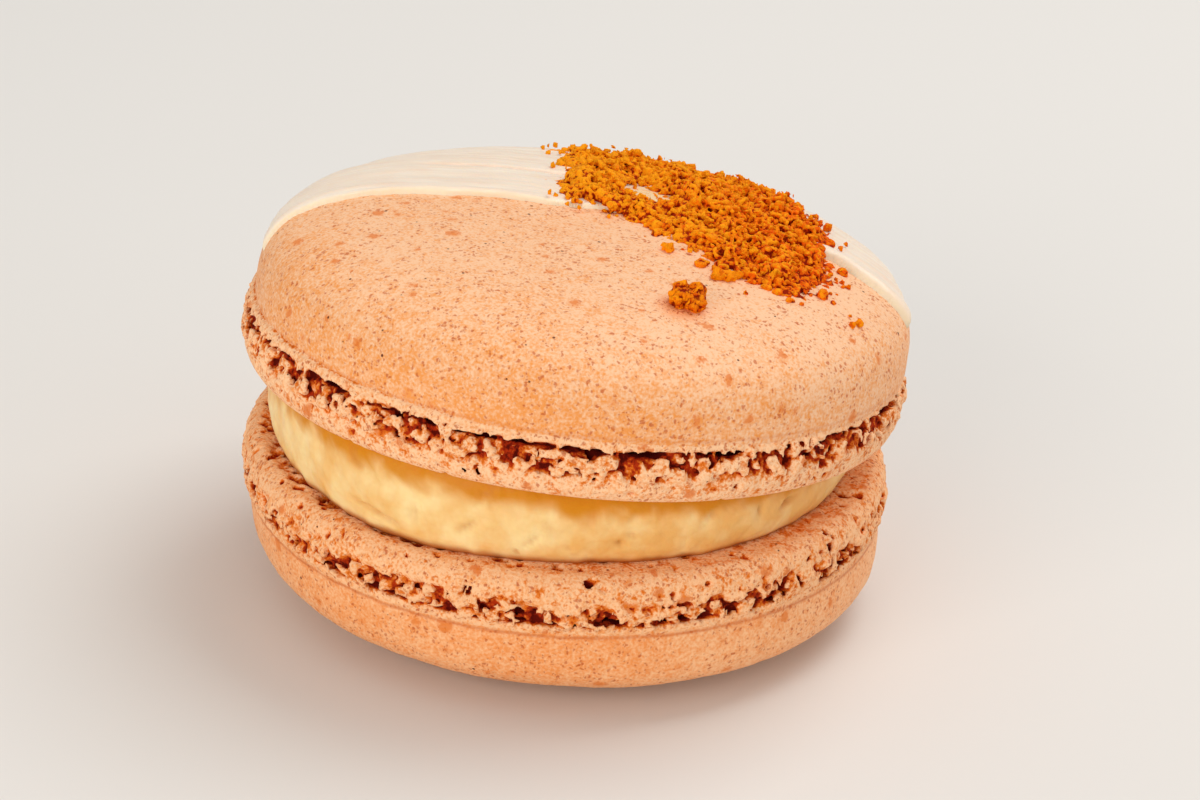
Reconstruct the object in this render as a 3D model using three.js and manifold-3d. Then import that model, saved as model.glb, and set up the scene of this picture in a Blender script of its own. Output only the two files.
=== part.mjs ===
// A French macaron: two baked almond meringue biscuits with ruffled feet, pressed onto a disc of
// buttercream. The rear half of the upper dome is brushed with white chocolate, and biscuit crumbs
// lie across it. Millimetres, +Z up; the origin is under the middle, on the surface it stands on.
import * as THREE from "three";
import { LoftGeometry } from "three/addons/geometries/LoftGeometry.js";
import { ImprovedNoise } from "three/addons/math/ImprovedNoise.js";
import { mergeVertices } from "three/addons/utils/BufferGeometryUtils.js";
import Module from "manifold-3d";

const wasm = await Module();
wasm.setup();

// --- Driving dimensions ---------------------------------------------------------------------

// Each biscuit is described in its own frame: its flat baked face at z = 0, its dome towards +z.
const UPPER = {
  radius: 22.2, // at the crack between the foot and the dome
  footHeight: 3.75,
  domeHeight: 7.9,
  crown: 2.45, // exponent of the radius: how broad the top is
  wall: 4, // exponent of the height: how upright the side is
  lean: [0.2, 0.35], // how far the dome sits to one side of the foot, at its lip and at its top
  shoulder: 0.35, // how far the rim of the flat face is drawn in
  seed: 25,
};
const LOWER = {
  radius: 22,
  footHeight: 3.6,
  domeHeight: 7.4,
  crown: 2.4,
  wall: 4.8,
  lean: [0, 0.7],
  shoulder: 0.75,
  seed: 47,
};
const FLAT_SPOT = 0.26; // radius of the level middle of a dome, as a share of the biscuit's
const OUTLINE_WANDER = 0.12; // how far a biscuit's outline departs from a circle
const LIP = 0.2; // how far the lower edge of a dome is drawn in

// The foot's ruffles
const FOOT_BULGE = 0.3; // how far the foot stands out past the dome
const LUMP = { height: 0.55, size: 1.7 };
const POCKET = { depth: 1.2, size: 2.1 };
const CRACK_DEPTH = 1.1; // how far the foot draws back under the lip of the dome

// The filling, and how the upper biscuit sits on it
const UPPER_TILT_X = -4; // degrees: lifted at the front
const UPPER_TILT_Y = 3.2; // degrees: and at the left
const FILLING_HEIGHT = 4.2; // between the two flat faces, at the middle
const FILLING_RADIUS = 19.5; // where the buttercream meets the faces
const FILLING_MIDDLE = [-0.4, -0.1];
const FILLING_BULGE = 0.75; // how far its side swells out between the faces
const FILLING_FOLD = 0.16; // height of the soft folds in its side
const SQUEEZED = { out: 0.75, angle: 242, width: 20 }; // more of it at the front left, in degrees
const GAP = 0.3; // left between the filling and each biscuit

// The toppings, in the upper biscuit's frame
const COAT_LIFT = 0.1; // from the dome to the underside of the chocolate
const COAT_THICKNESS = 0.35;
const COAT_HEM = { back: 5.4, sides: 7.6 }; // height of its lower edge
const CRUMB_LIFT = 0.12; // from the crumbs to what they lie on
const CRUMB_BED = 0.35; // thickness of the closed layer under the topmost crumbs
const CRUMB_RADIUS = [0.65, 1.15]; // smallest and largest
const CRUMBS_ACROSS = 44;
const CRUMBS_ROUND = 30; // along the edge of the patch

// How finely the round forms are divided
const FOOT_COLUMNS = 120;
const DOME_COLUMNS = 60;
const FILLING_COLUMNS = 72;

// --- Helpers --------------------------------------------------------------------------------

const TURN = Math.PI * 2;
const BEYOND = 30; // reaches past the whole biscuit, for the cutting forms
const noise = new ImprovedNoise();
const random = THREE.MathUtils.seededRandom;
const { lerp, smoothstep, degToRad } = THREE.MathUtils;

// A closed geometry as a solid that can be cut and joined.
function solid(geometry) {
  const bare = new THREE.BufferGeometry();
  bare.setAttribute("position", geometry.getAttribute("position"));
  bare.setIndex(geometry.getIndex());
  const merged = mergeVertices(bare);
  return new wasm.Manifold(
    new wasm.Mesh({
      numProp: 3,
      vertProperties: merged.attributes.position.array,
      triVerts: new Uint32Array(merged.index.array),
    }),
  );
}

// The largest piece of a solid as a named mesh.
function meshOf(name, made, material) {
  const largest = made.decompose().sort((a, b) => b.volume() - a.volume())[0];
  const { vertProperties, triVerts } = largest.getMesh();
  const geometry = new THREE.BufferGeometry();
  geometry.setAttribute("position", new THREE.BufferAttribute(vertProperties, 3));
  geometry.setIndex(new THREE.BufferAttribute(triVerts, 1));
  geometry.computeVertexNormals();
  const mesh = new THREE.Mesh(geometry, material);
  mesh.name = name;
  return mesh;
}

// A ring of points; at(angle) gives the radius and the height there.
function ring(columns, at) {
  return Array.from({ length: columns }, (_, i) => {
    const angle = (i / columns) * TURN;
    const { r, z } = at(angle);
    return new THREE.Vector3(r * Math.cos(angle), r * Math.sin(angle), z);
  });
}

function lofted(sections) {
  return solid(new LoftGeometry(sections, { capStart: true, capEnd: true }));
}

// An upright column over a shape in plan.
function column(shape, curveSegments) {
  return solid(new THREE.ExtrudeGeometry(shape, { depth: BEYOND, bevelEnabled: false, curveSegments }));
}

// --- The biscuits ---------------------------------------------------------------------------

// A slow departure from a circle, the same from the foot to the dome of one biscuit.
function wander(angle, seed) {
  return OUTLINE_WANDER * (Math.cos(2 * angle + seed) + 0.6 * Math.cos(3 * angle - 2 * seed));
}

// The ruffles at an angle and height: rounded lumps of two sizes, torn by pockets.
function ruffles(angle, z, { radius, seed }) {
  const x = radius * Math.cos(angle) + seed;
  const y = radius * Math.sin(angle);
  const at = (size) => noise.noise(x / size, y / size, z / size);
  const torn = smoothstep(at(POCKET.size), 0.1, 0.5);
  return LUMP.height * (at(LUMP.size) + 0.6 * at(LUMP.size / 2)) - POCKET.depth * torn;
}

// The foot: a low wall that stands a little proud, drawn back under the dome at its top.
function footSolid(biscuit) {
  const { radius, footHeight, shoulder, seed } = biscuit;
  const shares = [0, 0.07, 0.2, 0.36, 0.52, 0.68, 0.84, 1]; // of the foot's height
  return lofted(
    shares.map((share) =>
      ring(FOOT_COLUMNS, (angle) => {
        const z = share * footHeight;
        const bulge = FOOT_BULGE * Math.sin(Math.PI * share ** 0.8);
        const rounded = shoulder * (1 - share) ** 8;
        const cracked = CRACK_DEPTH * share ** 7 * (1 + noise.noise(angle * 4, seed, 0.5));
        const rough = smoothstep(share, 0.1, 0.5) * ruffles(angle, z, biscuit);
        return { r: radius + wander(angle, seed) + bulge - rounded - cracked + rough, z };
      }),
    ),
  );
}

// Height of a dome at a distance from its axis, both as shares of the whole.
function domeHeightShare({ crown, wall }, distance) {
  return (1 - distance ** crown) ** (1 / wall);
}

// The dome, from a ring hidden inside the foot, over its lip, to the level middle. grow swells it.
function domeSolid(biscuit, grow = 0) {
  const { radius, footHeight, domeHeight, crown, wall, lean, seed } = biscuit;
  const heights = [0.14, 0.34, 0.52, 0.66, 0.78, 0.87, 0.94, domeHeightShare(biscuit, FLAT_SPOT)];
  const over = heights.map((height) => {
    const upright = 1 - height ** 6; // 1 on the side, 0 at the top
    const distance = radius * (1 - height ** wall) ** (1 / crown) + grow * lerp(0.3, 1, upright);
    const points = ring(DOME_COLUMNS, (angle) => ({
      r: distance + wander(angle, seed) * upright,
      z: footHeight + height * domeHeight + grow * (1 - upright),
    }));
    points.forEach((point) => (point.x += lerp(...lean, height)));
    return points;
  });
  const hidden = ring(DOME_COLUMNS, () => ({ r: radius - 1.8, z: footHeight - 0.45 }));
  const lip = ring(DOME_COLUMNS, (angle) => ({
    r: radius + wander(angle, seed) - LIP + grow,
    z: footHeight,
  }));
  return lofted([hidden, lip, ...over]);
}

function biscuitSolid(biscuit) {
  return footSolid(biscuit).add(domeSolid(biscuit));
}

// The highest level of a biscuit, where its dome is flat.
function topOf(biscuit) {
  return biscuit.footHeight + biscuit.domeHeight * domeHeightShare(biscuit, FLAT_SPOT);
}

// The height of the upper biscuit's bare dome over a point of its plan.
function domeUnder(x, y) {
  const distance = Math.min(1, Math.hypot(x - UPPER.lean[1], y) / UPPER.radius);
  return UPPER.footHeight + UPPER.domeHeight * domeHeightShare(UPPER, distance);
}

// --- The white chocolate --------------------------------------------------------------------

// Its front edge in plan, from the left: nearly straight, drawn forward at its ends.
const COAT_FRONT = [
  [-22.6, -3.6],
  [-20.5, -0.8],
  [-17, 0.9],
  [-11, 1.6],
  [0, 1.5],
  [11, 1.6],
  [17, 0.2],
  [19.2, -2.2],
  [22.6, -3.3],
];

// Height of its lower edge: low at the back, higher towards its ends, and uneven.
function hemHeight(angle) {
  const uneven = 0.4 * Math.sin(5 * angle + 1) + 0.3 * Math.sin(11 * angle);
  return lerp(COAT_HEM.back, COAT_HEM.sides, Math.abs(Math.cos(angle)) ** 3) + uneven;
}

// All that lies behind the front edge and above the lower one, both moved outwards by margin.
function coatRegion(margin) {
  const plan = new THREE.Shape();
  plan.moveTo(BEYOND, BEYOND);
  plan.lineTo(-BEYOND, BEYOND);
  plan.lineTo(-BEYOND, COAT_FRONT[0][1] - margin);
  plan.splineThru(COAT_FRONT.map(([x, y]) => new THREE.Vector2(x, y - margin)));
  plan.lineTo(BEYOND, COAT_FRONT.at(-1)[1] - margin);
  plan.closePath();
  const below = lofted([
    ring(DOME_COLUMNS, () => ({ r: BEYOND, z: -1 })),
    ring(DOME_COLUMNS, (angle) => ({ r: BEYOND, z: hemHeight(angle) - margin })),
    ring(DOME_COLUMNS, (angle) => ({ r: UPPER.radius - 4, z: hemHeight(angle) - margin + 1 })),
  ]);
  return column(plan, 3).subtract(below);
}

function coatSolid() {
  const outside = domeSolid(UPPER, COAT_LIFT + COAT_THICKNESS);
  return outside.subtract(domeSolid(UPPER, COAT_LIFT)).intersect(coatRegion(0));
}

// --- The crumbs -----------------------------------------------------------------------------

// The outline of the patch in plan: its free front edge, then an arc along the dome's shoulder.
const PATCH_FRONT = [
  [1.2, 2.3],
  [4.6, -1],
  [9.2, -6.2],
  [12.8, -8.4],
  [15.2, -8.1],
  [16, -4],
  [16.4, 0],
];
const PATCH = new THREE.Shape();
PATCH.moveTo(-1.8, 3.4);
PATCH.splineThru(PATCH_FRONT.map(([x, y]) => new THREE.Vector2(x, y)));
PATCH.absarc(0, 0, 16.4, 0.05, 1.66, false);
PATCH.lineTo(-1.6, 9);
PATCH.closePath();

function isWithin(outline, { x, y }) {
  let within = false;
  outline.forEach((a, i) => {
    const b = outline[(i + 1) % outline.length];
    if (a.y > y !== b.y > y && x < a.x + ((y - a.y) * (b.x - a.x)) / (b.y - a.y)) within = !within;
  });
  return within;
}

// Where the crumbs lie: round the edge of the patch, then spread evenly over it. Each inner place
// is the best of several draws, the one furthest from the places before it.
function crumbPlaces() {
  const outline = PATCH.getPoints(8);
  const { min, max } = new THREE.Box2().setFromPoints(outline);
  const places = PATCH.getSpacedPoints(CRUMBS_ROUND).slice(1);
  const draw = () => new THREE.Vector2(lerp(min.x, max.x, random()), lerp(min.y, max.y, random()));
  const reach = (place) => Math.min(...places.map((other) => other.distanceTo(place)));
  random(7);
  while (places.length < CRUMBS_ROUND + CRUMBS_ACROSS) {
    const draws = Array.from({ length: 14 }, draw).filter((place) => isWithin(outline, place));
    if (draws.length) places.push(draws.reduce((best, place) => (reach(place) > reach(best) ? place : best)));
  }
  return places;
}

// One crumb: a jagged grain, flattened, tilted and turned by random draws.
function crumbSolid(x, y, z, size) {
  const grain = new THREE.IcosahedronGeometry(size, 0);
  grain.rotateX(random() * TURN);
  grain.scale(lerp(1, 1.4, random()), lerp(1, 1.4, random()), lerp(0.65, 0.9, random()));
  grain.rotateX(lerp(-0.3, 0.3, random()));
  grain.rotateZ(random() * TURN);
  grain.translate(x, y, z);
  return solid(grain);
}

// The heap: a thin bed with uneven crumbs on it, cut clear of the dome and of the chocolate.
function heapSolid() {
  const floor = COAT_LIFT + COAT_THICKNESS + CRUMB_LIFT;
  const bed = domeSolid(UPPER, floor + CRUMB_BED).intersect(column(PATCH, 4));
  const crumbs = crumbPlaces().map(({ x, y }) => {
    const size = lerp(...CRUMB_RADIUS, random());
    return crumbSolid(x, y, domeUnder(x, y) + floor + 0.1 * size, size);
  });
  const coated = domeSolid(UPPER, floor).intersect(coatRegion(CRUMB_LIFT));
  return wasm.Manifold.union([bed, ...crumbs]).subtract(domeSolid(UPPER, CRUMB_LIFT)).subtract(coated);
}

// Crumbs that fell on the bare dome in front of the patch: place in plan, and radius.
const STRAY_CRUMBS = [
  [6.2, -13.1, 0.75],
  [7.1, -13.5, 0.8],
  [6.6, -12.5, 0.6],
  [8.6, -8.6, 0.5],
  [9.5, -9.1, 0.45],
  [5.2, -5.2, 0.4],
  [18.3, -8.6, 0.4],
  [17.8, -9.5, 0.3],
];

function strayCrumbs() {
  random(23);
  return STRAY_CRUMBS.map(([x, y, size]) => crumbSolid(x, y, domeUnder(x, y) + 0.35 * size, size));
}

// --- The filling ----------------------------------------------------------------------------

// Its radius at an angle, and at a share of the way up from the lower face to the upper one.
function fillingRadius(angle, share) {
  const aside = (angle - degToRad(SQUEEZED.angle)) / degToRad(SQUEEZED.width);
  const fold = noise.noise(4 * Math.cos(angle), 4 * Math.sin(angle), share * 1.5);
  const swell = FILLING_BULGE * Math.sin(Math.PI * share) ** 0.6;
  return FILLING_RADIUS + swell + SQUEEZED.out * Math.exp(-(aside ** 2)) + FILLING_FOLD * fold;
}

// A disc of buttercream between the level lower face and the tilted upper one.
function fillingSolid(lowerFace, upperMatrix) {
  const shares = [0, 0.06, 0.18, 0.36, 0.56, 0.76, 0.92, 1];
  const sections = shares.map((share) =>
    ring(FILLING_COLUMNS, (angle) => ({ r: fillingRadius(angle, share), z: 0 })).map(({ x, y }) => {
      const low = new THREE.Vector3(x + FILLING_MIDDLE[0], y + FILLING_MIDDLE[1], lowerFace + GAP);
      const high = low.clone().setZ(-GAP).applyMatrix4(upperMatrix);
      return low.lerp(high, share);
    }),
  );
  return lofted(sections);
}

// --- Assembly -------------------------------------------------------------------------------

const baked = new THREE.MeshStandardMaterial({ color: 0xf2ae7c, roughness: 0.85 });
const buttercream = new THREE.MeshStandardMaterial({ color: 0xf3cf8c, roughness: 0.5 });
const whiteChocolate = new THREE.MeshStandardMaterial({ color: 0xf5e6cf, roughness: 0.4 });
const caramelCrumb = new THREE.MeshStandardMaterial({ color: 0xdb7a1e, roughness: 0.8 });

// The lower biscuit stands on its dome, with its flat face up.
const lower = meshOf("lower_biscuit", biscuitSolid(LOWER), baked);
lower.rotation.x = Math.PI;
lower.position.z = topOf(LOWER);

const upper = new THREE.Group();
upper.position.z = topOf(LOWER) + FILLING_HEIGHT;
upper.rotation.set(degToRad(UPPER_TILT_X), degToRad(UPPER_TILT_Y), 0, "YXZ");
upper.updateMatrix();
upper.add(
  meshOf("upper_biscuit", wasm.Manifold.union([biscuitSolid(UPPER), ...strayCrumbs()]), baked),
  meshOf("chocolate_coat", coatSolid(), whiteChocolate),
  meshOf("crumb_topping", heapSolid(), caramelCrumb),
);

const filling = meshOf("buttercream_filling", fillingSolid(topOf(LOWER), upper.matrix), buttercream);

const macaron = new THREE.Group();
macaron.add(lower, filling, upper);

// The origin is put under the middle of the whole.
const box = new THREE.Box3().setFromObject(macaron, true);
const foot = box.getCenter(new THREE.Vector3()).setZ(box.min.z);
macaron.children.forEach((child) => child.position.sub(foot));

export default macaron;
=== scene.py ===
"""A french macaron: two almond meringue biscuits with a disc of buttercream between them, white
chocolate brushed over the rear half of the upper dome, and a drift of amber biscuit crumbs on it."""

from math import atan2, ceil, cos, hypot, pi, radians, sin

import bpy
import numpy as np
from mathutils import Matrix, Vector


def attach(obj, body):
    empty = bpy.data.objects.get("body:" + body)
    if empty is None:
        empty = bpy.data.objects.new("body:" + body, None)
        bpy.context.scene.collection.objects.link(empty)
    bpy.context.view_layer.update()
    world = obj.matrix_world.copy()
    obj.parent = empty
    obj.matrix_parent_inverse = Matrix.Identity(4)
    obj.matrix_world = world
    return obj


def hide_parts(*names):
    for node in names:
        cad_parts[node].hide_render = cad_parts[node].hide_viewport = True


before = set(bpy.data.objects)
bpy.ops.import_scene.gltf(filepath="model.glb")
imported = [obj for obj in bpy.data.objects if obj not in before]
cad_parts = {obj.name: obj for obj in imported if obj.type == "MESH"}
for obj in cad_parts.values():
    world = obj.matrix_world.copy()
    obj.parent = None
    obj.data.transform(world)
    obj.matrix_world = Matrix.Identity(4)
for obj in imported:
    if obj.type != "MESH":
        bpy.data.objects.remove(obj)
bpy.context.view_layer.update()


# --- Camera, light and floor ------------------------------------------------------------------
# A long lens looks down on the front from 25 degrees, held a little askew. In an evenly lit room, a
# wide soft box hangs over the right rear, a second one stands at the front left and a weak one at
# the right. A pale floor throws light back up.

MM = 0.001
VIEW_HEIGHT = radians(25.02)
VIEW_ROLL = radians(4.24)
VIEW_DISTANCE = 261.9 * MM
VIEW_AIM = Vector((1.98, -0.141, 13.46)) * MM
LENS = 114.03  # millimetres, like the sensor's width
SENSOR_WIDTH = 36
LAMP_SIZE = 0.30
ROOM_COLOUR = (1, 0.985, 0.96, 1)
ROOM_LIGHT = 0.52
FLOOR_SIZE = 4
FLOOR_COLOUR = (0.78, 0.76, 0.73, 1)

camera = bpy.data.objects.new("camera", bpy.data.cameras.new("camera"))
camera.data.lens = LENS
camera.data.sensor_width = SENSOR_WIDTH
camera.data.clip_start = 0.01
bpy.context.scene.collection.objects.link(camera)
bpy.context.scene.camera = camera
look = Vector((0, cos(VIEW_HEIGHT), -sin(VIEW_HEIGHT)))
up = Vector((1, 0, 0)).cross(look)
right = Vector((1, 0, 0)) * cos(VIEW_ROLL) + up * sin(VIEW_ROLL)
up = right.cross(look)
camera.matrix_world = Matrix.Translation(VIEW_AIM - look * VIEW_DISTANCE) @ Matrix(
    (right, up, -look)
).transposed().to_4x4()


def soft_box(name, place, watts, tint):
    """A square lamp at a place, turned towards the macaron."""
    lamp = bpy.data.objects.new(name, bpy.data.lights.new(name, "AREA"))
    lamp.data.shape = "SQUARE"
    lamp.data.size = LAMP_SIZE
    lamp.data.energy = watts
    lamp.data.color = tint
    lamp.location = place
    lamp.rotation_euler = (VIEW_AIM - Vector(place)).to_track_quat("-Z", "Y").to_euler()
    bpy.context.scene.collection.objects.link(lamp)


soft_box("lamp_over", place=(0.16, 0.14, 0.40), watts=1.0, tint=(1, 0.98, 0.96))
soft_box("lamp_front", place=(-0.22, -0.40, 0.16), watts=1.05, tint=(1, 0.97, 0.92))
soft_box("lamp_right", place=(0.42, -0.14, 0.10), watts=0.2, tint=(1, 0.96, 0.98))

world = bpy.data.worlds.new("studio")
world.use_nodes = True
world.node_tree.nodes["Background"].inputs["Color"].default_value = ROOM_COLOUR
world.node_tree.nodes["Background"].inputs["Strength"].default_value = ROOM_LIGHT
bpy.context.scene.world = world
bpy.context.scene.view_settings.view_transform = "Standard"

bpy.ops.object.select_all(action="DESELECT")
bpy.ops.mesh.primitive_plane_add(size=FLOOR_SIZE)
floor = bpy.context.object
floor.name = "floor"
floor_paint = bpy.data.materials.new("pale_floor")
floor_paint.use_nodes = True
floor_shader = floor_paint.node_tree.nodes["Principled BSDF"]
floor_shader.inputs["Base Color"].default_value = FLOOR_COLOUR
floor_shader.inputs["Roughness"].default_value = 0.8
floor.data.materials.append(floor_paint)


# --- Lower biscuit: dome ----------------------------------------------------------------------
# Almond meringue, piped as a disc and baked until its top dries to a smooth, matte, finely pored
# skin. The lower biscuit lies upside down and stands on the level middle of its dome.

LOWER = {
    "radius": 22 * MM,  # where the foot meets the dome
    "foot_height": 3.6 * MM,
    "dome_height": 7.4 * MM,
    "crown": 2.4,  # exponent of the radius: how broad the top is
    "wall": 4.8,  # exponent of the height: how upright the side is
    "lean": (0, 0.7 * MM),  # how far the dome sits to one side, at its lip and at its top
    "shoulder": 0.75 * MM,  # how far the rim of the flat face is drawn in
    "seed": 47,
}
CREASE_HEIGHT = 0.6  # of the fine crease above a dome's lip, in millimetres
CREASE_WIDTH = 0.12
FLAT_SPOT = 0.26  # radius of a dome's level middle, as a share of the biscuit's
WANDER = 0.12 * MM  # how far an outline departs from a circle
CORE_RADIUS = 19.4 * MM  # of the dome's underside, hidden in the ring of the foot
CORE_HEIGHT = 0.15 * MM  # of that underside above the flat face
LIP_INSET = 0.2 * MM  # of a lip's lower edge from the dome's outline
LIP_ROOT = {"in": 1.8 * MM, "down": 0.45 * MM}  # where the underside of a lip starts
POLE_RADIUS = 0.005 * MM  # of the last ring of a dome, which becomes one point
DOME_COLUMNS = 480
DOME_RINGS = 110
PROFILE_STEPS = 4000
AXIS_FOOT = Vector((-0.1699, -0.1414, 0)) * MM  # where the biscuits' axis meets the floor
LOWER_FACE = 10.938 * MM  # height of the flat face
LOWER_PLACE = Matrix.Translation(AXIS_FOOT + Vector((0, 0, LOWER_FACE))) @ Matrix.Rotation(pi, 4, "X")


def wander(biscuit, angle):
    """A slow departure from a circle."""
    seed = biscuit["seed"]
    return WANDER * (cos(2 * angle + seed) + 0.6 * cos(3 * angle - 2 * seed))


def dome_profile(biscuit, rings):
    """(radius, height share) from the lip to the level middle, evenly spaced along the skin."""
    fine = []
    for turn in np.linspace(0, pi / 2, PROFILE_STEPS):
        radius = biscuit["radius"] * max(cos(turn), 0) ** (2 / biscuit["crown"])
        fine.append((radius, sin(turn) ** (2 / biscuit["wall"])))
    fine = [(radius, share) for radius, share in fine if radius >= FLAT_SPOT * biscuit["radius"]]
    fine.append((0, fine[-1][1]))
    run = [0]
    for (r0, s0), (r1, s1) in zip(fine, fine[1:]):
        run.append(run[-1] + hypot(r1 - r0, (s1 - s0) * biscuit["dome_height"]))
    wanted = np.linspace(0, run[-1], rings)
    radii, shares = zip(*fine)
    return list(zip(np.interp(wanted, run, radii), np.interp(wanted, run, shares)))


def draw_up(columns, steps):
    """A round body: a disc drawn up ring by ring through (radius, height) steps, and closed."""
    radius, height = steps[0]
    bpy.ops.object.select_all(action="DESELECT")
    bpy.ops.mesh.primitive_circle_add(
        vertices=columns, radius=radius, fill_type="NGON", location=(0, 0, height)
    )
    body = bpy.context.object
    bpy.ops.object.transform_apply(location=True)
    bpy.ops.object.mode_set(mode="EDIT")
    bpy.context.tool_settings.mesh_select_mode = (False, True, False)
    bpy.ops.mesh.select_all(action="SELECT")
    for next_radius, next_height in steps[1:]:
        bpy.ops.mesh.extrude_edges_move(
            TRANSFORM_OT_translate={"value": (0, 0, next_height - height)}
        )
        share = next_radius / radius
        bpy.ops.transform.resize(value=(share, share, 1), center_override=(0, 0, next_height))
        radius, height = next_radius, next_height
    if radius < 2 * POLE_RADIUS:
        bpy.ops.mesh.merge(type="CENTER")
    else:
        bpy.ops.mesh.edge_face_add()
    bpy.ops.mesh.select_all(action="SELECT")
    bpy.ops.mesh.normals_make_consistent(inside=False)
    bpy.ops.object.mode_set(mode="OBJECT")
    return body


def model_dome(biscuit, columns, rings):
    """The dome in the biscuit's own frame, with its flat face at z = 0."""
    lip = biscuit["foot_height"]
    steps = [(CORE_RADIUS, CORE_HEIGHT)]
    steps += [(biscuit["radius"] - LIP_ROOT["in"], lip - LIP_ROOT["down"])]
    steps += [(biscuit["radius"] - LIP_INSET, lip)]
    steps += [(r, lip + s * biscuit["dome_height"]) for r, s in dome_profile(biscuit, rings)[1:]]
    steps[-1] = (POLE_RADIUS, steps[-1][1])
    dome = draw_up(columns, steps)
    lean_low, lean_high = biscuit["lean"]
    for vertex in dome.data.vertices:
        share = max(0, (vertex.co.z - lip) / biscuit["dome_height"])
        angle = atan2(vertex.co.y, vertex.co.x)
        radius = hypot(vertex.co.x, vertex.co.y) + wander(biscuit, angle) * (1 - share**6)
        vertex.co.x = radius * cos(angle) + lean_low + (lean_high - lean_low) * share
        vertex.co.y = radius * sin(angle)
    return dome


def finish_modifier(piece, kind, **settings):
    """Adds a modifier to a piece, sets it and applies it."""
    bpy.ops.object.select_all(action="DESELECT")
    bpy.context.view_layer.objects.active = piece
    piece.select_set(True)
    modifier = piece.modifiers.new(kind.lower(), kind)
    for name, value in settings.items():
        setattr(modifier, name, value)
    bpy.ops.object.modifier_apply(modifier=modifier.name)


class Term:
    """A node's output that can be added to, multiplied by and compared with others and numbers."""

    def __init__(self, tree, socket):
        self.tree = tree
        self.socket = socket

    def math(self, operation, *others):
        made = self.tree.nodes.new("ShaderNodeMath")
        made.operation = operation
        for place, value in enumerate((self, *others)):
            plug(self.tree, value, made.inputs[place])
        return Term(self.tree, made.outputs[0])

    def __add__(self, other):
        return self.math("ADD", other)

    def __sub__(self, other):
        return self.math("SUBTRACT", other)

    def __rsub__(self, other):
        return self * -1 + other

    def __mul__(self, other):
        return self.math("MULTIPLY", other)

    def __truediv__(self, other):
        return self.math("DIVIDE", other)

    def __pow__(self, other):
        return self.math("POWER", other)

    __radd__ = __add__
    __rmul__ = __mul__

    def least(self, other):
        return self.math("MINIMUM", other)

    def most(self, other):
        return self.math("MAXIMUM", other)

    def step(self, low, high):
        """0 below low, 1 above high and a soft rise between them."""
        made = self.tree.nodes.new("ShaderNodeMapRange")
        made.interpolation_type = "SMOOTHSTEP"
        plug(self.tree, self, made.inputs["Value"])
        plug(self.tree, low, made.inputs["From Min"])
        plug(self.tree, high, made.inputs["From Max"])
        return Term(self.tree, made.outputs[0])

    def split(self):
        made = self.tree.nodes.new("ShaderNodeSeparateXYZ")
        plug(self.tree, self, made.inputs[0])
        return [Term(self.tree, output) for output in made.outputs]


def plug(tree, value, socket):
    """Links a term to a socket, or sets the socket to a plain value."""
    if isinstance(value, Term):
        tree.links.new(value.socket, socket)
    else:
        socket.default_value = value


def vector(tree, operation, a, b):
    """Vector Math on two vectors, or on a vector and a number where the operation is SCALE."""
    made = tree.nodes.new("ShaderNodeVectorMath")
    made.operation = operation
    plug(tree, a, made.inputs[0])
    plug(tree, b, made.inputs["Scale" if operation == "SCALE" else 1])
    return Term(tree, made.outputs["Value" if operation == "DOT_PRODUCT" else "Vector"])


def noise(tree, place, size, detail=1.5, warp=False):
    """Soft noise from -1 to 1 whose waves are about size across; a vector of it where warp is set."""
    made = tree.nodes.new("ShaderNodeTexNoise")
    made.inputs["Scale"].default_value = 1 / size
    made.inputs["Detail"].default_value = detail
    plug(tree, place, made.inputs["Vector"])
    if warp:
        centred = vector(tree, "SUBTRACT", Term(tree, made.outputs["Color"]), (0.5, 0.5, 0.5))
        return vector(tree, "SCALE", centred, 2.0)
    return Term(tree, made.outputs[0]) * 2 - 1


def cells(tree, place, size):
    """Of the nearest of many points about size apart: its distance, its chance number, its place."""
    made = tree.nodes.new("ShaderNodeTexVoronoi")
    made.inputs["Scale"].default_value = 1 / size
    plug(tree, place, made.inputs["Vector"])
    chance = Term(tree, made.outputs["Color"]).split()[0]
    return Term(tree, made.outputs["Distance"]) * size, chance, Term(tree, made.outputs["Position"])


def mix(tree, factor, a, b):
    """Colour a where the factor is 0, and b where it is 1."""
    made = tree.nodes.new("ShaderNodeMix")
    made.data_type = "RGBA"
    plug(tree, factor, made.inputs[0])
    plug(tree, a, made.inputs[6])
    plug(tree, b, made.inputs[7])
    return Term(tree, made.outputs[2])


def colour(red, green, blue):
    """A colour given as 0 to 255 on screen, as Blender's linear numbers."""
    return [((v / 255 + 0.055) / 1.055) ** 2.4 if v > 10 else v / 3295 for v in (red, green, blue)] + [1]


def attribute(tree, name):
    """A number kept on a mesh's points, for a material."""
    made = tree.nodes.new("ShaderNodeAttribute")
    made.attribute_name = name
    return Term(tree, made.outputs["Fac"])


def object_place(tree):
    """Where a point of a piece is, in millimetres."""
    made = tree.nodes.new("ShaderNodeTexCoord")
    return vector(tree, "SCALE", Term(tree, made.outputs["Object"]), 1 / MM)


SPECK_SPACING = 0.3  # millimetres, as the two below
BLOT_SPACING = 1.7
PIN_PORE_SPACING = 1.2
BLOT_TINT = (1.34, 1.68, 1.2)  # a blot's colour and a pin pore's, as shares of a speck's
PIN_PORE_TINT = (0.22, 0.12, 0.1)


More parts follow.
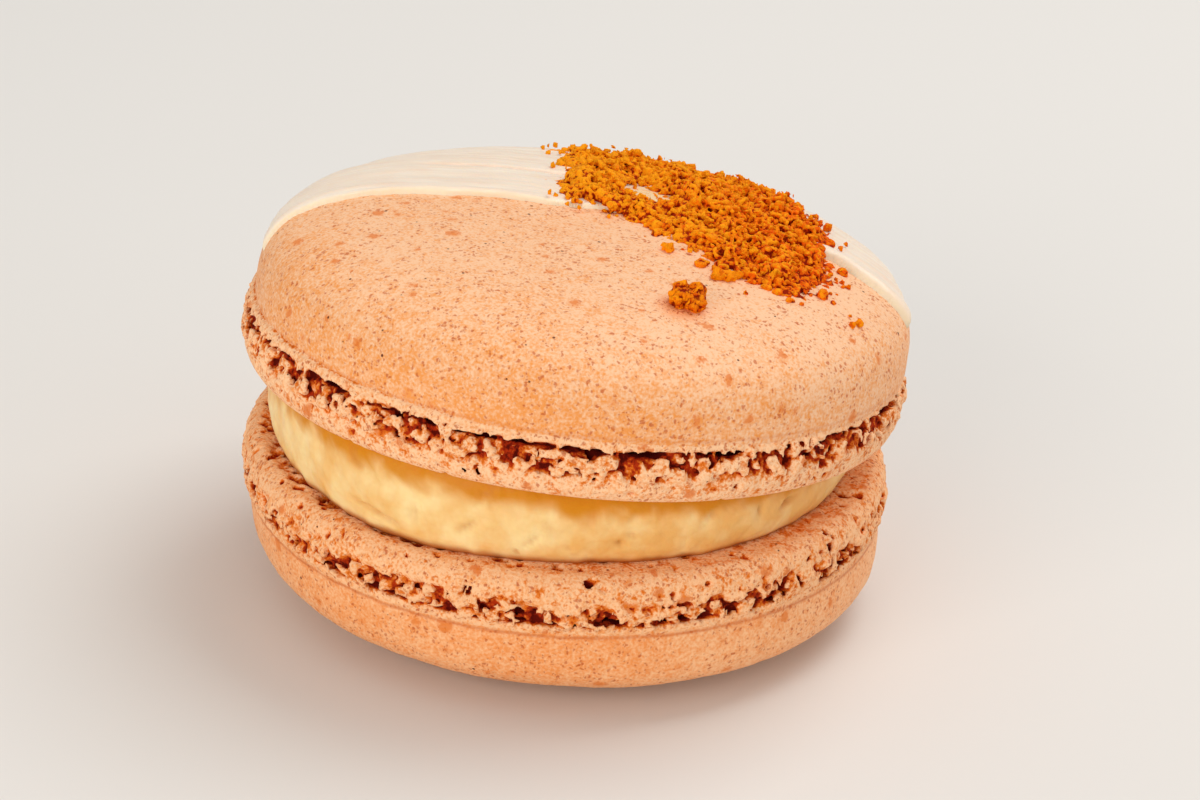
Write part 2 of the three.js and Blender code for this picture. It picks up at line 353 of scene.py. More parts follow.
def skin_group():
    """The biscuit's skin: mottled, dusted with fine almond specks, with a few blots and pin pores."""
    tree = bpy.data.node_groups.new("almond_skin", "ShaderNodeTree")
    sockets = (("Pale", "Color"), ("Toasted", "Color"), ("Speck", "Color"), ("Toast", "Float"))
    for name, kind in sockets:
        tree.interface.new_socket(name, in_out="INPUT", socket_type="NodeSocket" + kind)
    for name, kind in (("Colour", "Color"), ("Height", "Float")):
        tree.interface.new_socket(name, in_out="OUTPUT", socket_type="NodeSocket" + kind)
    inputs = tree.nodes.new("NodeGroupInput").outputs
    pale, toasted, speck, toast = [Term(tree, inputs[name]) for name, _ in sockets]
    place = object_place(tree)
    warp = vector(tree, "SCALE", noise(tree, place, 0.45, 2, warp=True), 0.3)
    warped = vector(tree, "ADD", place, warp)
    slow = noise(tree, place, 6, 2)
    mottle = noise(tree, place, 0.8, 3)
    dense = noise(tree, place, 2.4, 2)  # where the specks lie close
    grain = noise(tree, place, 0.2, 4)
    speck_distance, speck_chance, _ = cells(tree, warped, SPECK_SPACING)
    speck_size = 0.17 * speck_chance + 0.08 * dense
    specks = (speck_distance + 0.12 * grain).step(speck_size, speck_size - 0.1)
    blot_distance, blot_chance, _ = cells(tree, warped, BLOT_SPACING)
    blot_size = 0.6 * (blot_chance - 0.2)
    blots = (blot_distance + 0.4 * mottle + 0.4 * grain).step(blot_size + 0.08, blot_size - 0.14)
    pore_distance, pore_chance, _ = cells(tree, place, PIN_PORE_SPACING)
    pore_size = 0.13 * pore_chance
    pores = pore_distance.step(pore_size, pore_size - 0.05) * pore_chance.step(0.5, 0.55)
    warmth = toast + 0.3 * slow + 0.6 * mottle + 1.4 * grain + 0.15
    painted = mix(tree, warmth.most(0).least(1), pale, toasted)
    painted = mix(tree, specks * (0.78 + 0.3 * mottle), painted, speck)
    painted = mix(tree, blots * 0.8, painted, vector(tree, "MULTIPLY", speck, BLOT_TINT))
    # Pin pores are painted nearly black, as the shade inside the tiny holes.
    painted = mix(tree, pores * 0.9, painted, vector(tree, "MULTIPLY", speck, PIN_PORE_TINT))
    height = 0.02 * mottle + 0.02 * grain - 0.015 * specks - 0.1 * pores
    outputs = tree.nodes.new("NodeGroupOutput").inputs
    plug(tree, painted, outputs["Colour"])
    plug(tree, height, outputs["Height"])
    return tree


SKIN = skin_group()


def new_material(name, roughness, specular):
    """A material's node tree and its shader, with the values that are the same all over."""
    material = bpy.data.materials.new(name)
    material.use_nodes = True
    shader = material.node_tree.nodes["Principled BSDF"]
    shader.inputs["Roughness"].default_value = roughness
    shader.inputs["Specular IOR Level"].default_value = specular
    return material, material.node_tree, shader


def relief(tree, height, shader):
    """Bump by a height in millimetres."""
    bump = tree.nodes.new("ShaderNodeBump")
    bump.inputs["Distance"].default_value = MM
    plug(tree, height, bump.inputs["Height"])
    tree.links.new(bump.outputs[0], shader.inputs["Normal"])


def dome_material(name, biscuit, pale, toasted, speck, lip_toast_and_painted_highlight, crease_depth):
    """The skin of a dome: more toasted near its lip and at the left, paler at the right as a painted
    highlight, with a thin crease at the lip.
    """
    material, tree, shader = new_material(name, 0.6, 0.3)
    skin = tree.nodes.new("ShaderNodeGroup")
    skin.node_tree = SKIN
    place = object_place(tree)
    rise = attribute(tree, "rise")
    share = rise / (biscuit["dome_height"] / MM) + 0.06 * noise(tree, place, 3, 2)
    # Painted highlight: the toast fades from left to right, so the right of the dome is painted paler, as
    # if lit there.
    aside = place.split()[0] / (-1.4 * biscuit["radius"] / MM)
    toast = lip_toast_and_painted_highlight * (share.step(1.0, 0.2) * (1 - 0.5 * aside.most(0)) + aside.least(0.1))
    for socket, value in (("Pale", pale), ("Toasted", toasted), ("Speck", speck), ("Toast", toast)):
        plug(tree, value, skin.inputs[socket])
    from_crease = (rise - CREASE_HEIGHT - 0.1 * noise(tree, place, 1.5, 2)) / CREASE_WIDTH
    crease = (from_crease * from_crease * -1).math("EXPONENT") * crease_depth
    crease = crease * (0.75 + 0.5 * noise(tree, place, 0.9, 2))
    painted = mix(tree, crease, Term(tree, skin.outputs["Colour"]), speck)
    tree.links.new(painted.socket, shader.inputs["Base Color"])
    relief(tree, Term(tree, skin.outputs["Height"]) - 0.08 * crease, shader)
    return material


def geometry_tree(name):
    """A modifier's tree: itself, its input, its output and each point's place in millimetres."""
    tree = bpy.data.node_groups.new(name, "GeometryNodeTree")
    tree.interface.new_socket("Geometry", in_out="INPUT", socket_type="NodeSocketGeometry")
    tree.interface.new_socket("Geometry", in_out="OUTPUT", socket_type="NodeSocketGeometry")
    given = tree.nodes.new("NodeGroupInput").outputs[0]
    result = tree.nodes.new("NodeGroupOutput").inputs[0]
    position = Term(tree, tree.nodes.new("GeometryNodeInputPosition").outputs[0])
    return tree, given, result, vector(tree, "SCALE", position, 1 / MM)


def raise_by(tree, geometry, height):
    """Moves the points of a geometry along their normals by a height in millimetres."""
    normal = Term(tree, tree.nodes.new("GeometryNodeInputNormal").outputs[0])
    made = tree.nodes.new("GeometryNodeSetPosition")
    tree.links.new(geometry, made.inputs["Geometry"])
    plug(tree, vector(tree, "SCALE", normal, height * MM), made.inputs["Offset"])
    return made.outputs[0]


def store(tree, geometry, name, value):
    """Keeps a term as an attribute of the geometry's points."""
    made = tree.nodes.new("GeometryNodeStoreNamedAttribute")
    made.inputs["Name"].default_value = name
    tree.links.new(geometry, made.inputs["Geometry"])
    plug(tree, value, made.inputs["Value"])
    return made.outputs[0]


def skin_relief(biscuit, name):
    """Shallow dimples in a dome, and how far each point is above its lip, in millimetres."""
    tree, given, result, place = geometry_tree(name)
    seeded = vector(tree, "ADD", place, (biscuit["seed"], 0, 0))
    dimples = 0.09 * noise(tree, seeded, 4.5, 1) + 0.05 * noise(tree, seeded, 1.3, 1)
    raised = raise_by(tree, given, dimples + 0.02 * noise(tree, seeded, 0.55, 1))
    rise = place.split()[2] - biscuit["foot_height"] / MM
    tree.links.new(store(tree, raised, "rise", rise), result)
    return tree


def settle(piece, name, place, material):
    """Gives a modelled piece its name, its place in the frame, its finish and its body."""
    piece.name = piece.data.name = name
    piece.data.transform(place)
    bpy.ops.object.select_all(action="DESELECT")
    bpy.context.view_layer.objects.active = piece
    piece.select_set(True)
    bpy.ops.object.shade_smooth()
    piece.data.materials.clear()
    piece.data.materials.append(material)
    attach(piece, "root")


lower_dome = model_dome(LOWER, DOME_COLUMNS, DOME_RINGS)
finish_modifier(lower_dome, "NODES", node_group=skin_relief(LOWER, "lower_dimples"))
lower_skin = dome_material(
    "lower_skin",
    LOWER,
    pale=colour(252, 192, 140),
    toasted=colour(242, 150, 80),
    speck=colour(200, 94, 28),
    lip_toast_and_painted_highlight=0.5,
    crease_depth=0.75,
)
settle(lower_dome, "lower_dome", LOWER_PLACE, lower_skin)
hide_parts("lower_biscuit")


# --- Lower biscuit: foot ----------------------------------------------------------------------
# The ruffled skirt under the dome, where the batter rose and burst: an even rim at the flat face,
# lumps and pockets above it, and a broken crack below the thin lip of the dome. Beside the cream, at
# the left, the flat face has burst open in wider pores.

FOOT_VOXEL = 0.18  # millimetres
FOOT_INNER = 18.7  # inner radius of the ring at the flat face, in millimetres
FOOT_SLOPE = 0.25  # how fast that radius grows with the height
GRAIN_SPACING = 0.7  # of the rounded grains, the pits and the pores of a foot
PIT_SPACING = 1.1
PORE_SPACING = 0.75
CRACK_MIDDLE = 0.42  # how far the crack's middle is below the lip
CRACK_DEPTH = 1.3
LIP_REACH = 1.3  # how far the lip reaches inwards
SOLID_DEPTH = 2.2  # beyond this depth there are no more pockets
FOOT_SCRAP = 1500  # a loose bit with fewer points is dropped
HOLLOW_ROUNDS = 4  # how widely the surroundings of a point are averaged
HIDDEN_THINNING = 0.85  # share of the faces taken from a foot's hidden wall
LOWER_CRAGS = {
    "from": 0.5,  # share of the height at which the crags begin
    "crack": 0.0,  # how much of the crack is open
    "warp": 0.55,
    "nodule": 0.85,  # spacing of the nodules
    "hollow": 0.3,  # how deep the pockets between them are
    "pit": 0.5,  # how few pits there are
    "burst": 0.4,  # how much wider the pores beside the cream are
}


def surface_of(tree, inside, low, high, voxel):
    """The closed surface round the points where inside is above 0, in a box, in millimetres."""
    cube = tree.nodes.new("GeometryNodeVolumeCube")
    plug(tree, inside, cube.inputs["Density"])
    cube.inputs["Background"].default_value = -1
    cube.inputs["Min"].default_value = [value * MM for value in low]
    cube.inputs["Max"].default_value = [value * MM for value in high]
    for axis, a, b in zip("XYZ", low, high):
        cube.inputs["Resolution " + axis].default_value = ceil((b - a) / voxel)
    skin = tree.nodes.new("GeometryNodeVolumeToMesh")
    tree.links.new(cube.outputs[0], skin.inputs["Volume"])
    skin.inputs["Threshold"].default_value = 0
    return skin.outputs[0]


def without_scraps(tree, geometry, fewest):
    """Drops the loose bits of a geometry that have fewer points than that."""
    island = tree.nodes.new("GeometryNodeInputMeshIsland")
    count = tree.nodes.new("GeometryNodeAccumulateField")
    tree.links.new(island.outputs["Island Index"], count.inputs["Group ID"])
    small = tree.nodes.new("FunctionNodeCompare")
    small.operation = "LESS_THAN"
    tree.links.new(count.outputs["Total"], small.inputs[0])
    small.inputs[1].default_value = fewest
    kept = tree.nodes.new("GeometryNodeDeleteGeometry")
    tree.links.new(geometry, kept.inputs["Geometry"])
    tree.links.new(small.outputs[0], kept.inputs["Selection"])
    return kept.outputs[0]


def store_hollow(tree, geometry):
    """Keeps how far each point lies in a hollow of its surroundings, in millimetres."""
    position = Term(tree, tree.nodes.new("GeometryNodeInputPosition").outputs[0])
    normal = Term(tree, tree.nodes.new("GeometryNodeInputNormal").outputs[0])
    blurred = tree.nodes.new("GeometryNodeBlurAttribute")
    blurred.data_type = "FLOAT_VECTOR"
    blurred.inputs["Iterations"].default_value = HOLLOW_ROUNDS
    value = [socket for socket in blurred.inputs if socket.enabled and socket.name == "Value"][0]
    plug(tree, position, value)
    out = [socket for socket in blurred.outputs if socket.enabled][0]
    away = vector(tree, "SUBTRACT", Term(tree, out), position)
    return store(tree, geometry, "hollow", vector(tree, "DOT_PRODUCT", away, normal) / MM)


def foot_crags(biscuit, crags, name):
    """Grows a foot in the biscuit's frame, in millimetres: what is inside is above 0."""
    radius, height = biscuit["radius"] / MM, biscuit["foot_height"] / MM
    shoulder, seed = biscuit["shoulder"] / MM, biscuit["seed"]
    tree, _, result, place = geometry_tree(name)
    x, y, z = place.split()
    from_axis = (x * x + y * y).math("SQRT")
    angle = y.math("ARCTAN2", x)
    share = (z / height).most(0).least(1)
    waves = (angle * 2 + seed).math("COSINE") + 0.6 * (angle * 3 - 2 * seed).math("COSINE")
    outline = waves * (WANDER / MM) + radius
    proud = 0.3 * ((share**0.8) * pi).math("SINE") - shoulder * (1 - share) ** 8
    depth = outline + proud - from_axis  # inwards from the smooth side of the foot

    seeded = vector(tree, "ADD", place, (seed, 0, 0))
    level = vector(tree, "MULTIPLY", seeded, (1, 1, 0))
    warp = vector(tree, "SCALE", noise(tree, seeded, 0.9, 2, warp=True), crags["warp"])
    warped = vector(tree, "ADD", seeded, warp)
    fine = noise(tree, seeded, 0.6, 4)
    above_rim = share.step(0.08, 0.3)
    craggy = (share + 0.12 * noise(tree, seeded, 2.5, 1)).step(crags["from"] - 0.1, crags["from"] + 0.1)
    grains = 0.33 - cells(tree, warped, GRAIN_SPACING)[0]
    band = depth + (0.2 * noise(tree, seeded, 1.9, 1) + 0.2 * grains + 0.2 * fine) * above_rim

    nodule_distance, nodule_chance, _ = cells(tree, warped, crags["nodule"])
    nodules = crags["nodule"] * (0.3 + 0.45 * nodule_chance) - nodule_distance
    pockets = 0.5 * noise(tree, seeded, 1.5, 2) + 0.35 * noise(tree, seeded, 0.5, 2)
    core = depth - crags["hollow"] - pockets
    torn = nodules.least(depth + 0.25).most(core) + 0.32 * fine + 0.22 * grains
    inside = band + (torn - band) * craggy
    pit_distance, pit_chance, _ = cells(tree, warped, PIT_SPACING)
    pits = pit_distance - (pit_chance - crags["pit"]) * 0.9 + 0.06 * fine
    pore_distance, pore_chance, _ = cells(tree, seeded, PORE_SPACING)
    near_cream = share.step(0.15, 0) * from_axis.step(21.2, 20.6) * (x * -0.06 + 0.3).most(0)
    pores = pore_distance - (pore_chance - 0.6) * 0.6 - crags["burst"] * near_cream + 0.05 * fine
    inside = inside.least(pits).least(pores)

    opening = noise(tree, level, 2.6, 1) + crags["crack"]
    middle = height - CRACK_MIDDLE + 0.2 * noise(tree, level, 1.6, 1)
    from_middle = (z - middle + 0.35 * noise(tree, seeded, 0.8, 3)).math("ABSOLUTE")
    crack = (from_middle - 0.5 * opening + 0.1 * fine).most(depth - CRACK_DEPTH)
    inside = inside.least(crack)
    lip_edge = height - 0.18 + 0.22 * noise(tree, seeded, 1.1, 3)
    lip_top = height + CREASE_HEIGHT - 0.08 + 0.1 * noise(tree, level, 1.5, 1)
    bumps = 0.09 + 0.16 * noise(tree, seeded, 0.55, 3) - 0.35 * z.step(lip_top - 0.2, lip_top + 0.1)
    lip = (outline + bumps - from_axis).least(z - lip_edge + 0.1 * fine).least(LIP_REACH - depth)
    inside = inside.least(height + 0.02 - z).most(lip)

    inside = inside.most(depth - SOLID_DEPTH).least(z).least(height + 0.8 - z)
    inside = inside.least(from_axis - FOOT_INNER - FOOT_SLOPE * z)
    reach = radius + 1.1
    skin = surface_of(tree, inside, (-reach, -reach, -0.2), (reach, reach, height + 0.9), FOOT_VOXEL)
    skin = store_hollow(tree, without_scraps(tree, skin, FOOT_SCRAP))
    # Round the crack under the lip the depth is raised, so the crags there are painted browner: partly
    # their own colour, partly painted shade of the lip.
    near_crack = share.step(crags["from"] - 0.1, 0.75) * z.step(height, height - 0.3)
    skin = store(tree, skin, "depth", depth.least(z + 0.05) + 0.42 * near_crack)
    tree.links.new(skin, result)
    return tree


def points_of(piece):
    """A mesh's points, in millimetres."""
    flat = np.empty(len(piece.data.vertices) * 3)
    piece.data.vertices.foreach_get("co", flat)
    return flat.reshape(-1, 3) / MM


def model_foot(biscuit, crags, name):
    """The ring of a foot, with few faces where the dome and the cream hide it."""
    bpy.ops.object.select_all(action="DESELECT")
    bpy.ops.mesh.primitive_circle_add(vertices=32, radius=biscuit["radius"])
    foot = bpy.context.object
    finish_modifier(foot, "NODES", node_group=foot_crags(biscuit, crags, name + "_crags"))
    x, y, z = points_of(foot).T
    hidden = np.hypot(x, y) < FOOT_INNER + FOOT_SLOPE * z + 0.15
    wall = foot.vertex_groups.new(name="hidden_wall")
    wall.add(np.flatnonzero(hidden).tolist(), 1, "REPLACE")
    finish_modifier(foot, "DECIMATE", ratio=1 - HIDDEN_THINNING * hidden.mean(), vertex_group=wall.name)
    foot.vertex_groups.clear()
    return foot


def crag_material(name, toast, pale, toasted, speck, orange, brown, painted_shade_colour):
    """Baked skin outside and orange-brown crumb in the pockets, with painted shade: browner in hollows,
    nearly black deep in the cracks.
    """
    material, tree, shader = new_material(name, 0.75, 0.14)
    skin = tree.nodes.new("ShaderNodeGroup")
    skin.node_tree = SKIN
    for socket, value in (("Pale", pale), ("Toasted", toasted), ("Speck", speck), ("Toast", toast)):
        plug(tree, value, skin.inputs[socket])
    place = object_place(tree)
    uneven = noise(tree, place, 0.7, 4)
    crumb = noise(tree, place, 0.2, 3)
    stain = noise(tree, place, 1.3, 3)
    depth = attribute(tree, "depth") + 0.6 * uneven + 0.4 * stain + 0.5 * crumb
    # Painted shade: the hollower a point lies, the browner and then blacker it is painted.
    depth = depth + 4 * attribute(tree, "hollow")
    painted = mix(tree, depth.step(-0.02, 0.38), Term(tree, skin.outputs["Colour"]), orange)
    painted = mix(tree, depth.step(0.3, 0.65), painted, brown)
    painted = mix(tree, depth.step(0.65, 1.0), painted, painted_shade_colour)
    tree.links.new(painted.socket, shader.inputs["Base Color"])
    plug(tree, 0.75 + 0.2 * depth.step(0.2, 0.6), shader.inputs["Roughness"])
    relief(tree, Term(tree, skin.outputs["Height"]) + 0.03 * uneven + 0.02 * crumb, shader)
    return material


lower_foot = model_foot(LOWER, LOWER_CRAGS, "lower_foot")
lower_crumb = crag_material(
    "lower_crags",
    toast=0.05,
    pale=colour(253, 197, 148),
    toasted=colour(240, 148, 72),
    speck=colour(196, 90, 36),
    orange=colour(230, 120, 30),
    brown=colour(176, 50, 6),
    painted_shade_colour=colour(100, 12, 0),
)
settle(lower_foot, "lower_foot", LOWER_PLACE, lower_crumb)
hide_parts("lower_biscuit")


# --- Buttercream ------------------------------------------------------------------------------
# A piped disc of pale yellow buttercream, pressed until it swells to the rims: smooth, with soft
# slanting folds, a few tiny air pits, and small dents and nicks round its front.

CREAM_RADIUS = 19.5 * MM
CREAM_MIDDLE = Vector((-0.4, -0.1, 0)) * MM
CREAM_BULGE = 0.75 * MM
CREAM_SQUEEZE = {"out": 0.75 * MM, "angle": radians(242 - 360), "width": radians(20)}
CREAM_DENTS = (
    (-41.5, 2.3, 0.6, 0.25, 0.3, 0.6),
    (-49, 2.5, 0.2, 0.5, 0.6, 0.35),
    (-60, 3.1, 0.3, 0.25, 0.5, 0.3),
    (-71, 1.4, 0.14, 0.14, 0, 0.25),
    (-76, 2.2, 0.16, 0.16, 0, 0.3),
    (-78, 1.6, 0.25, 0.25, 0, 0.4),
    (-87.5, 1.3, 0.14, 0.14, 0, 0.25),
    (-94.5, 1.7, 0.5, 0.2, 0.9, 0.25),
    (-106, 2.3, 0.5, 0.25, 0.9, 0.3),
    (-116, 2.4, 0.2, 0.6, 0, 0.3),
    (-121, 1.15, 0.8, 0.14, -0.2, 0.3),
    (-125, 1.5, 1.3, 0.16, -0.12, 0.35),
)  # angle in degrees; height, width, tallness in millimetres; how it slants; depth in millimetres
CREAM_HEIGHT = 4.2 * MM  # between the two flat faces, at the middle
CREAM_RINGS = 30
CREAM_COLUMNS = 420
CREAM_OVERLAP = 0.08 * MM  # how far it is pressed into each biscuit
CREAM_PIT_SPACING = 2.2
UPPER_PLACE = (
    Matrix.Translation(AXIS_FOOT + Vector((0, 0, LOWER_FACE + CREAM_HEIGHT)))
    @ Matrix.Rotation(radians(3.2), 4, "Y")
    @ Matrix.Rotation(radians(-4), 4, "X")
)


def model_cream():
    """A disc with a swollen side; its top is then laid against the upper biscuit's tilted face."""
    levels = [step / CREAM_RINGS for step in range(CREAM_RINGS + 1)]
    steps = [(CREAM_RADIUS + CREAM_BULGE * sin(pi * share) ** 0.6, share) for share in levels]
    cream = draw_up(CREAM_COLUMNS, [(radius, share * CREAM_HEIGHT) for radius, share in steps])
    shares = cream.data.attributes.new("share", "FLOAT", "POINT")
    tilt = UPPER_PLACE.to_3x3() @ Vector((0, 0, 1))
    for vertex in cream.data.vertices:
        share = vertex.co.z / CREAM_HEIGHT
        angle = atan2(vertex.co.y, vertex.co.x)
        aside = (angle - CREAM_SQUEEZE["angle"]) / CREAM_SQUEEZE["width"]
        out = CREAM_SQUEEZE["out"] * np.exp(-(aside**2)) * hypot(vertex.co.x, vertex.co.y) / CREAM_RADIUS
        vertex.co.x += CREAM_MIDDLE.x + out * cos(angle)
        vertex.co.y += CREAM_MIDDLE.y + out * sin(angle)
        top = CREAM_HEIGHT - (vertex.co.x * tilt.x + vertex.co.y * tilt.y) / tilt.z
        vertex.co.z = -CREAM_OVERLAP + share * (top + 2 * CREAM_OVERLAP)
        shares.data[vertex.index].value = share
    return cream


def named(tree, name):
    """A number kept on a mesh's points, for a modifier."""
    made = tree.nodes.new("GeometryNodeInputNamedAttribute")
    made.inputs["Name"].default_value = name
    return Term(tree, [socket for socket in made.outputs if socket.enabled][0])


def cream_folds():
    """Slanting folds, pits and dents, and for painted shade how near each point is to either biscuit and
    where the pits, creases and dents are.
    """
    tree, given, result, place = geometry_tree("cream_folds")
    x, y, z = place.split()
    lean = -0.07 * x * z  # the folds lean towards the middle as they rise
    angle = y.math("ARCTAN2", x)
    around = tree.nodes.new("ShaderNodeCombineXYZ")
    plug(tree, angle * (CREAM_RADIUS / MM) + lean, around.inputs[0])
    plug(tree, 0.5 * z, around.inputs[1])
    wavy = vector(tree, "SCALE", noise(tree, place, 2.5, 1, warp=True), 1.2)
    around = vector(tree, "ADD", Term(tree, around.outputs[0]), wavy)
    folds = noise(tree, around, 2.2, 1)
    ridge = noise(tree, around, 2.8, 0.5).math("ABSOLUTE").step(0.16, 0)
    ridge = ridge * noise(tree, place, 4, 1).step(0, 0.35)
    pit_distance, pit_chance, _ = cells(tree, place, CREAM_PIT_SPACING)
    pit_size = (pit_chance - 0.5) * 0.8
    pits = pit_distance.step(pit_size, pit_size - 0.3)
    sunk = 0
    for turn, middle, width, tall, slant, deep in CREAM_DENTS:
        across = (angle - radians(turn)) * (CREAM_RADIUS / MM) + 0.3 * noise(tree, place, 1.2, 1)
        above = (z - middle - slant * across) / tall
        across = across / width
        sunk = (across * across * -1 - above * above).math("EXPONENT") * deep + sunk
    height = 0.18 * folds + 0.06 * noise(tree, place, 0.9, 1) - 0.12 * ridge - 0.2 * pits
    raised = raise_by(tree, given, height - sunk)
    share = named(tree, "share")
    # Painted shadow where the cream meets the lower biscuit.
    painted_contact_shadow = (share + 0.03 * noise(tree, place, 1.5, 1)).step(0.13, 0.03)
    raised = store(tree, raised, "painted_contact_shadow", painted_contact_shadow)
    # Painted shade under the upper rim: a band along the top of the cream, narrower at the left.
    share = share + 0.22 * noise(tree, around, 1.6, 2) - 0.05 * x.step(5, -8)
    raised = store(tree, raised, "painted_rim_shade", share.step(0.56, 0.8))
    # Painted shade in the pits, the creases between folds and the dents.
    tree.links.new(store(tree, raised, "pit", pits.most(0.6 * ridge).most(1.6 * sunk)), result)
    return tree


def cream_material():
    """Pale yellow, deeper in patches and towards the right, with painted ochre shade under the upper rim,
    in its pits, creases and dents, and a painted shadow where it meets the lower biscuit.
    """
    material, tree, shader = new_material("buttercream", 0.45, 0.2)
    shader.inputs["Subsurface Weight"].default_value = 0.25
    shader.inputs["Subsurface Radius"].default_value = (1.0, 0.6, 0.25)
    shader.inputs["Subsurface Scale"].default_value = 0.6 * MM
    place = object_place(tree)
    slow = noise(tree, place, 2.2, 3)
    fine = noise(tree, place, 0.5, 2)
    # Deeper yellow in patches, and towards the right as painted shade.
    deeper = (0.35 + 1.3 * slow + 0.5 * place.split()[0].step(-6, 9)).most(0).least(1)
    painted = mix(tree, deeper, colour(252, 221, 158), colour(238, 182, 104))
    # Painted shade: ochre under the upper rim and in the pits, creases and dents, and a deep ochre shadow
    # where the cream meets the lower biscuit.
    painted = mix(tree, attribute(tree, "painted_rim_shade"), painted, colour(214, 138, 10))
    painted = mix(tree, attribute(tree, "pit") * 0.8, painted, colour(206, 124, 36))
    painted = mix(tree, attribute(tree, "painted_contact_shadow") * 0.9, painted, colour(172, 84, 6))
    tree.links.new(painted.socket, shader.inputs["Base Color"])
    relief(tree, 0.015 * fine + 0.08 * noise(tree, place, 1.1, 1), shader)
    return material


cream = model_cream()
finish_modifier(cream, "NODES", node_group=cream_folds())
cream_place = Matrix.Translation(AXIS_FOOT + Vector((0, 0, LOWER_FACE)))
settle(cream, "buttercream", cream_place, cream_material())
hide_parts("buttercream_filling")


# --- Upper biscuit: dome ----------------------------------------------------------------------
# The other biscuit, dome up, of the same almond meringue. It sits on the buttercream tipped back a
# little and to the right.

UPPER = {
    "radius": 22.2 * MM,
    "foot_height": 3.75 * MM,
    "dome_height": 7.9 * MM,
    "crown": 2.45,
    "wall": 4,
    "lean": (0.2 * MM, 0.35 * MM),
    "shoulder": 0.35 * MM,
    "seed": 25,
}
upper_dome = model_dome(UPPER, DOME_COLUMNS, DOME_RINGS)
finish_modifier(upper_dome, "NODES", node_group=skin_relief(UPPER, "upper_dimples"))
upper_skin = dome_material(
    "upper_skin",
    UPPER,
    pale=colour(249, 198, 155),
    toasted=colour(240, 152, 74),
    speck=colour(200, 94, 28),
    lip_toast_and_painted_highlight=0.55,
    crease_depth=0.3,
)
settle(upper_dome, "upper_dome", UPPER_PLACE, upper_skin)
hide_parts("upper_biscuit")


# --- Upper biscuit: foot ----------------------------------------------------------------------
# Taller and more torn than the lower one: chunky nodules with deep pockets between them, painted brown
# as crumb and as shade, and openings under the lip painted nearly black as shade.

UPPER_CRAGS = {
    "from": 0.44,
    "crack": 0.2,
    "warp": 0.65,
    "nodule": 0.95,
    "hollow": 0.3,
    "pit": 0.55,
    "burst": 0,
}
upper_foot = model_foot(UPPER, UPPER_CRAGS, "upper_foot")
upper_crumb = crag_material(
    "upper_crags",
    toast=0.0,
    pale=colour(255, 204, 158),
    toasted=colour(242, 152, 80),
    speck=colour(196, 90, 36),
    orange=colour(230, 120, 30),
    brown=colour(174, 46, 6),
    painted_shade_colour=colour(92, 10, 0),
)
settle(upper_foot, "upper_foot", UPPER_PLACE, upper_crumb)
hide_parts("upper_biscuit")


# --- White chocolate --------------------------------------------------------------------------
# Melted white chocolate brushed from side to side over the rear half of the dome: a soft-edged
# coat with shallow streaks along its front edge, thin enough in one of them for the biscuit to
# show through.

COAT_FRONT = (
    (-22.6, -3.6),
    (-20.5, -0.8),
    (-17, 0.9),
    (-11, 1.6),
    (0, 1.5),
    (11, 1.6),
    (17, 0.2),
    (19.2, -2.2),
    (22.6, -3.3),
)  # the front edge in plan, from left to right
COAT_HEM = {"back": 5.4, "sides": 7.6}  # height of its lower edge above the flat face
COAT_HEIGHT = 0.42  # millimetres above the dome
COAT_SWELL = 0.25  # by how much it swells along its front edge at the right
COAT_BEAD = 0.65  # width of its rounded edge
COAT_MARGIN = 0.5  # how far its hidden edge reaches under the dome's skin
COAT_THICKNESS = 0.3 * MM
COAT_COLUMNS = 200
COAT_RINGS = 50
THIN_STREAK = 6.6  # how far behind the front edge the thin streak runs


def select_points(piece, chosen):
    """Goes into edit mode with just those points selected."""
    bpy.ops.object.select_all(action="DESELECT")
    bpy.context.view_layer.objects.active = piece
    piece.select_set(True)
    bpy.ops.object.mode_set(mode="EDIT")
    bpy.context.tool_settings.mesh_select_mode = (True, False, False)
    bpy.ops.mesh.select_all(action="DESELECT")
    bpy.ops.object.mode_set(mode="OBJECT")
    piece.data.vertices.foreach_set("select", chosen)
    bpy.ops.object.mode_set(mode="EDIT")


def coat_front(x):
    """Where the front edge crosses a place from left to right, in millimetres."""
    wide = np.linspace(-26, 26, 521)
    edge = np.interp(wide, *zip(*COAT_FRONT))
    reach = np.exp(-(np.linspace(-3, 3, 61) ** 2) / 2)
    smooth = np.convolve(np.pad(edge, 30, "edge"), reach / reach.sum(), "valid")
    return np.interp(x, wide, smooth) + 0.12 * np.sin(0.9 * x + 1) + 0.05 * np.sin(2.7 * x)


def from_coat_edge(x, y, z):
    """How far a place on the dome is inside the coat, and how far behind its front edge."""
    behind = y - coat_front(x)
    angle = np.arctan2(y, x)
    hem = COAT_HEM["back"] + (COAT_HEM["sides"] - COAT_HEM["back"]) * np.abs(np.cos(angle)) ** 3
    hem += 0.4 * np.sin(5 * angle + 1) + 0.3 * np.sin(11 * angle)
    return np.minimum(behind, z - hem), behind


def onto_dome(biscuit, points):
    """Points near a dome moved onto it, in millimetres, and the dome's normals there."""
    x, y, z = points.T
    x = x - biscuit["lean"][1] / MM
    across = np.hypot(x, y) / (biscuit["radius"] / MM)
    upwards = np.clip((z - biscuit["foot_height"] / MM) / (biscuit["dome_height"] / MM), 0.01, 1)
    outward = biscuit["crown"] * across ** (biscuit["crown"] - 1) / (biscuit["radius"] / MM)
    upward = biscuit["wall"] * upwards ** (biscuit["wall"] - 1) / (biscuit["dome_height"] / MM)
    slope = np.hypot(outward, upward)
    away = (across ** biscuit["crown"] + upwards ** biscuit["wall"] - 1) / slope
    angle = np.arctan2(y, x)
    normals = np.stack((np.cos(angle) * outward, np.sin(angle) * outward, upward), 1) / slope[:, None]
    level = across < FLAT_SPOT
    normals[level] = (0, 0, 1)
    away[level] = 0
    return points - normals * away[:, None], normals


